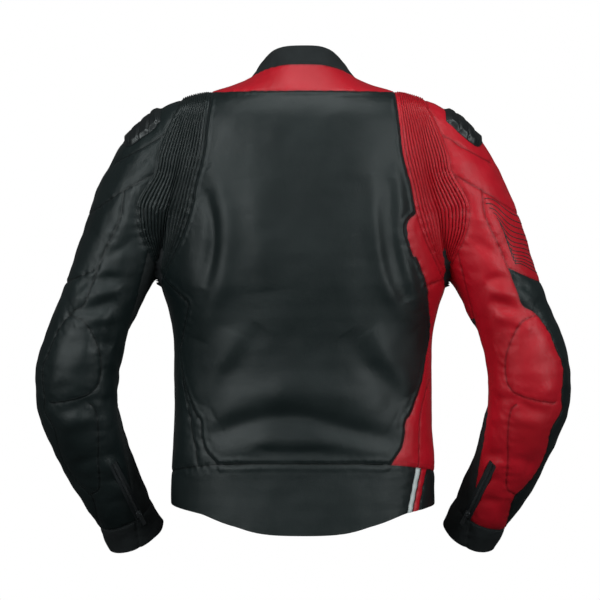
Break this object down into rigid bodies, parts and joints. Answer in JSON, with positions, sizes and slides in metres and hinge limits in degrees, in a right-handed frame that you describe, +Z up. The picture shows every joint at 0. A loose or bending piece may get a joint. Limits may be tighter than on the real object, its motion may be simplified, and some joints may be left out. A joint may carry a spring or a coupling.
{
  "type": "motorcycle riding jacket",
  "caption": "Leather riding jacket with stretch panels, shoulder and elbow protectors, a front zip, zipped pockets and zipped sleeves.",
  "frame": {"origin": "the middle of the neck opening, where a hanger's stem passes", "axes": "+Z up, +Y the way the wearer faces, +X towards the wearer's right arm"},
  "size_m": [0.773, 0.266, 0.7394],
  "materials": {
    "black_leather": "satin, fine grain",
    "red_leather": "satin, fine grain",
    "white_leather": "satin",
    "stretch_cloth": "matt weave",
    "neoprene": "matt",
    "lining_cloth": "fine mesh",
    "armour_foam": "matt",
    "hard_cup": "satin",
    "zip_metal": "dark, worn edges"
  },
  "bodies": {
    "jacket": {"back_panel": "black_leather", "yoke_panel": "red_leather", "collar_trim_back": "neoprene", "side_panel_left": "black_leather", "side_panel_right": "red_leather", "hem_band_back": "black_leather", "hem_stripe_white": "white_leather", "hem_stripe_red": "red_leather", "lining_back": "lining_cloth", "back_protector": "armour_foam", "hanger_loop": "lining_cloth", "trouser_zip": "zip_metal", "accordion_panel_left": "black_leather", "accordion_panel_right": "red_leather"},
    "front_left": {"front_panel_left": "black_leather", "collar_front_left": "neoprene", "hem_band_front_left": "black_leather", "lining_front_left": "lining_cloth", "zip_teeth_left": "zip_metal", "pocket_zip_teeth_left": "zip_metal"},
    "front_right": {"front_panel_right": "red_leather", "collar_front_right": "neoprene", "hem_band_front_right": "black_leather", "lining_front_right": "lining_cloth", "zip_teeth_right": "zip_metal", "pocket_zip_teeth_right": "zip_metal"},
    "zip_slider": {"zip_slider": "zip_metal"},
    "zip_pull": {"zip_pull": "zip_metal"},
    "upper_arm_left": {"upper_sleeve_outer_left": "black_leather", "upper_sleeve_inner_left": "stretch_cloth", "elbow_panel_left": "black_leather", "shoulder_cup_left": "hard_cup", "shoulder_armour_left": "armour_foam"},
    "forearm_left": {"forearm_outer_left": "black_leather", "forearm_inner_left": "stretch_cloth", "forearm_edge_left": "black_leather", "cuff_left": "neoprene", "cuff_zip_teeth_left": "zip_metal", "elbow_armour_left": "armour_foam"},
    "pocket_slider_left": {"pocket_zip_slider_left": "zip_metal"},
    "pocket_pull_left": {"pocket_zip_pull_left": "zip_metal"},
    "cuff_slider_left": {"cuff_zip_slider_left": "zip_metal"},
    "cuff_pull_left": {"cuff_zip_pull_left": "zip_metal"},
    "upper_arm_right": {"upper_sleeve_outer_right": "red_leather", "upper_sleeve_inner_right": "stretch_cloth", "elbow_panel_right": "red_leather", "shoulder_cup_right": "hard_cup", "shoulder_armour_right": "armour_foam"},
    "forearm_right": {"forearm_outer_right": "red_leather", "forearm_inner_right": "stretch_cloth", "forearm_edge_right": "black_leather", "cuff_right": "neoprene", "cuff_zip_teeth_right": "zip_metal", "elbow_armour_right": "armour_foam"},
    "pocket_slider_right": {"pocket_zip_slider_right": "zip_metal"},
    "pocket_pull_right": {"pocket_zip_pull_right": "zip_metal"},
    "cuff_slider_right": {"cuff_zip_slider_right": "zip_metal"},
    "cuff_pull_right": {"cuff_zip_pull_right": "zip_metal"}
  },
  "joints": [
    {"name": "shoulder_left", "type": "hinge", "parent": "jacket", "child": "upper_arm_left", "pos_m": [-0.212, 0, -0.16], "axis": [1, 0, 0], "range_deg": [-15, 60], "deforming": ["accordion_panel_left"]},
    {"name": "elbow_left", "type": "hinge", "parent": "upper_arm_left", "child": "forearm_left", "pos_m": [-0.329, -0.014, -0.452], "axis": [1, 0, 0], "range_deg": [-20, 60], "deforming": ["elbow_panel_left"]},
    {"name": "front_left_open", "type": "hinge", "parent": "jacket", "child": "front_left", "pos_m": [-0.15, 0.0952, -0.3], "axis": [0, 0, 1], "range_deg": [0, 40]},
    {"name": "shoulder_right", "type": "hinge", "parent": "jacket", "child": "upper_arm_right", "pos_m": [0.212, 0, -0.16], "axis": [1, 0, 0], "range_deg": [-15, 60], "deforming": ["accordion_panel_right"]},
    {"name": "elbow_right", "type": "hinge", "parent": "upper_arm_right", "child": "forearm_right", "pos_m": [0.329, -0.014, -0.452], "axis": [1, 0, 0], "range_deg": [-20, 60], "deforming": ["elbow_panel_right"]},
    {"name": "front_right_open", "type": "hinge", "parent": "jacket", "child": "front_right", "pos_m": [0.15, 0.0952, -0.3], "axis": [0, 0, -1], "range_deg": [0, 40]},
    {"name": "zip_travel", "type": "hinge", "parent": "front_right", "child": "zip_slider", "pos_m": [0, -1.658, -0.306], "axis": [1, 0, 0], "range_deg": [-17.6, 0]},
    {"name": "zip_pull_swing", "type": "hinge", "parent": "zip_slider", "child": "zip_pull", "pos_m": [0, 0.10624, -0.03987], "axis": [1, 0, 0], "range_deg": [0, 160]},
    {"name": "pocket_zip_travel_left", "type": "slide", "parent": "front_left", "child": "pocket_slider_left", "axis": [0, 0.0909, 0.9959], "range_m": [-0.112, 0]},
    {"name": "pocket_pull_swing_left", "type": "hinge", "parent": "pocket_slider_left", "child": "pocket_pull_left", "pos_m": [-0.11348, 0.10473, -0.45185], "axis": [0.9362, 0.3499, -0.032], "range_deg": [0, 160]},
    {"name": "cuff_zip_travel_left", "type": "slide", "parent": "forearm_left", "child": "cuff_slider_left", "axis": [-0.3438, -0.5482, 0.7624], "range_m": [0, 0.094]},
    {"name": "cuff_pull_swing_left", "type": "hinge", "parent": "cuff_slider_left", "child": "cuff_pull_left", "pos_m": [-0.23921, 0.03752, -0.63781], "axis": [-0.7033, -0.3877, -0.5959], "range_deg": [0, 160]},
    {"name": "pocket_zip_travel_right", "type": "slide", "parent": "front_right", "child": "pocket_slider_right", "axis": [0, 0.0909, 0.9959], "range_m": [-0.112, 0]},
    {"name": "pocket_pull_swing_right", "type": "hinge", "parent": "pocket_slider_right", "child": "pocket_pull_right", "pos_m": [0.11348, 0.10473, -0.45185], "axis": [0.9362, -0.3499, 0.032], "range_deg": [0, 160]},
    {"name": "cuff_zip_travel_right", "type": "slide", "parent": "forearm_right", "child": "cuff_slider_right", "axis": [0.3438, -0.5482, 0.7624], "range_m": [0, 0.094]},
    {"name": "cuff_pull_swing_right", "type": "hinge", "parent": "cuff_slider_right", "child": "cuff_pull_right", "pos_m": [0.23921, 0.03752, -0.63781], "axis": [-0.7033, 0.3877, 0.5959], "range_deg": [0, 160]}
  ]
}
